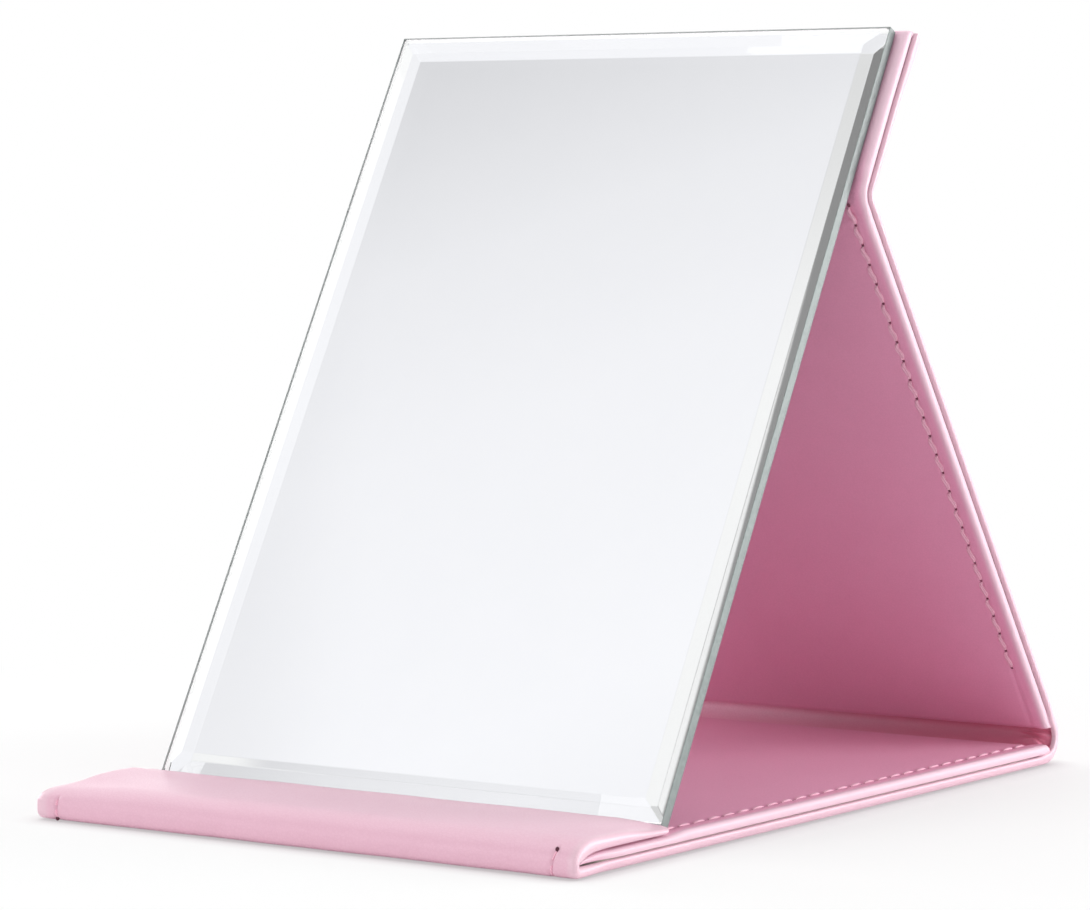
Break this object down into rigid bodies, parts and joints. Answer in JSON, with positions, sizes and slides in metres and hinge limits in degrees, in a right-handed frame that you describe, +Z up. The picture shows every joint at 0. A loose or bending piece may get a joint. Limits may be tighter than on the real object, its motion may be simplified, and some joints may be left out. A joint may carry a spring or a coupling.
{
  "type": "folding makeup mirror",
  "caption": "Folding makeup mirror: bevelled glass on a leather-covered book-style cover whose hinged panels fold into a tilted desk stand.",
  "frame": {"origin": "middle of the footprint, on the table under the base", "axes": "+X to the viewer's right, +Y from the front flap to the rear spine, +Z up"},
  "size_m": [0.148, 0.2139, 0.1806],
  "materials": {
    "cover_leather": "satin",
    "lining_leather": "satin",
    "greyboard": "matte",
    "sewing_thread": "matte",
    "mirror_glass": "gloss",
    "silvering": "mirror",
    "foam_tape": "matte"
  },
  "bodies": {
    "base": {"base_leather": "cover_leather", "base_board": "greyboard", "base_lining": "lining_leather", "base_seam": "sewing_thread"},
    "front_spine": {"front_spine_leather": "cover_leather", "front_spine_lining": "lining_leather"},
    "flap": {"flap_leather": "cover_leather", "flap_board": "greyboard", "flap_lining": "lining_leather", "flap_seam": "sewing_thread"},
    "rear_spine": {"rear_spine_leather": "cover_leather", "rear_spine_lining": "lining_leather"},
    "back_panel": {"back_leather": "cover_leather", "back_board": "greyboard", "back_lining": "lining_leather", "back_seam": "sewing_thread", "crease_leather": "cover_leather", "crease_lining": "lining_leather"},
    "mirror_panel": {"top_leather": "cover_leather", "top_board": "greyboard", "top_lining": "lining_leather", "mirror_glass": "mirror_glass", "mirror_silvering": "silvering", "bonding_tape": "foam_tape"}
  },
  "joints": [
    {"name": "front_spine_fold", "type": "hinge", "parent": "base", "child": "front_spine", "pos_m": [0, -0.10556, 0.0005], "axis": [1, 0, 0], "range_deg": [0, 109.65]},
    {"name": "flap_fold", "type": "hinge", "parent": "front_spine", "child": "flap", "pos_m": [0, -0.10306, 0.0075], "axis": [1, 0, 0], "range_deg": [0, 70.35]},
    {"name": "stand_fold", "type": "hinge", "parent": "base", "child": "rear_spine", "pos_m": [0, 0.10194, 0.0005], "axis": [-1, 0, 0], "range_deg": [0, 75.07]},
    {"name": "back_fold", "type": "hinge", "parent": "rear_spine", "child": "back_panel", "pos_m": [0, 0.10474, 0.011], "axis": [-1, 0, 0], "range_deg": [0, 49.55]},
    {"name": "crease_fold", "type": "hinge", "parent": "back_panel", "child": "mirror_panel", "pos_m": [0, 0.01224, 0.14156], "axis": [1, 0, 0], "range_deg": [0, 63.58]}
  ],
  "couplings": [
    {"joint": "back_fold", "follows": "stand_fold", "ratio": 0.65983},
    {"joint": "crease_fold", "follows": "stand_fold", "ratio": 0.84662}
  ]
}
